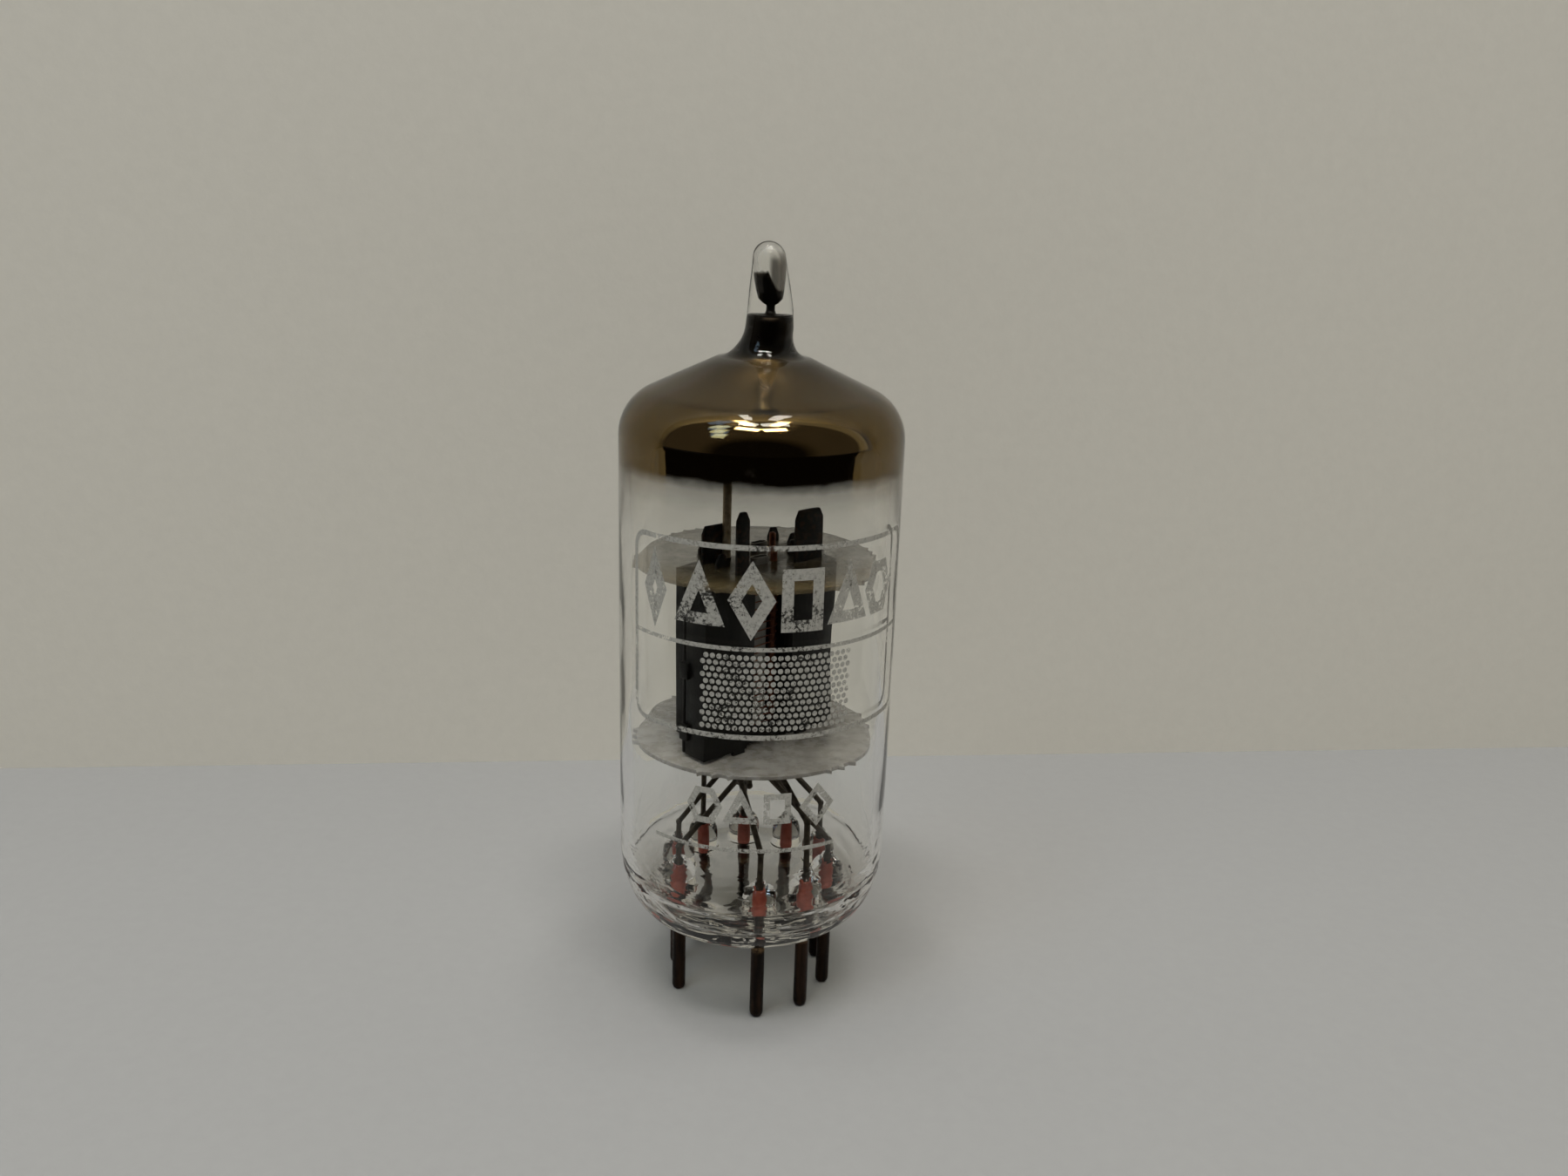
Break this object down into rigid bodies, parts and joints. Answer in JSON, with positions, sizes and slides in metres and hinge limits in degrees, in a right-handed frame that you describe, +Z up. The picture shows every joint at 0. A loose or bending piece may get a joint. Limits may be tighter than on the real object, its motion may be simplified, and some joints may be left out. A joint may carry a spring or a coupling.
{
  "type": "vacuum tube",
  "caption": "Miniature glass double-triode vacuum tube with stiff base pins, black carbonised anodes between mica spacers, a silvered getter dome and a drawn-off exhaust tip.",
  "frame": {"origin": "on the bulb's axis, level with the tips of the base pins", "axes": "+Z up along the bulb's axis towards the exhaust tip; -Y is the front, with pin 1 just right of it; +X to the right seen from the front"},
  "size_m": [0.0202, 0.0202, 0.0567],
  "materials": {
    "glass": "clear polished soda-lime glass with a faint grey-green tint",
    "pin_metal": "nickel-iron, oxidised dark brown, worn bright in streaks",
    "seal_copper": "copper-clad seal wire, borated red, seen through the glass",
    "lead_nickel": "dull nickel wire, browned by the sealing fire",
    "mica": "thin sheet mica, smoky and pearly",
    "mica_amber": "thin sheet mica, smoky amber",
    "anode_carbon": "carbonised nickel sheet, matt black-grey",
    "grid_copper": "copper side rods, dull, with fine grid wire",
    "cathode_nickel": "nickel sleeve with a white oxide coating",
    "heater_white": "alumina-coated wire, matt white",
    "getter_steel": "browned nickel-plated wire and channel",
    "getter_mirror": "barium film, a brown-grey mirror"
  },
  "bodies": {
    "root": {"glass_bulb": "glass", "exhaust_tip": "glass", "stem_button": "glass", "base_pin_1": "pin_metal", "base_pin_2": "pin_metal", "base_pin_3": "pin_metal", "base_pin_4": "pin_metal", "base_pin_5": "pin_metal", "base_pin_6": "pin_metal", "base_pin_7": "pin_metal", "base_pin_8": "pin_metal", "base_pin_9": "pin_metal", "seal_wires": "seal_copper", "anode_lead_1": "lead_nickel", "grid_lead_1": "lead_nickel", "cathode_lead_1": "lead_nickel", "anode_lead_2": "lead_nickel", "grid_lead_2": "lead_nickel", "cathode_lead_2": "lead_nickel", "heater_lead_1": "lead_nickel", "heater_lead_2": "lead_nickel", "heater_centre_tap": "lead_nickel", "lower_mica": "mica", "upper_mica": "mica_amber", "anode_1_outer": "anode_carbon", "anode_1_inner": "anode_carbon", "anode_2_outer": "anode_carbon", "anode_2_inner": "anode_carbon", "control_grid_1": "grid_copper", "control_grid_2": "grid_copper", "cathode_1": "cathode_nickel", "cathode_2": "cathode_nickel", "heater_1": "heater_white", "heater_2": "heater_white", "getter_post": "getter_steel", "getter_ring": "getter_steel", "getter_film": "getter_mirror"}
  },
  "joints": []
}
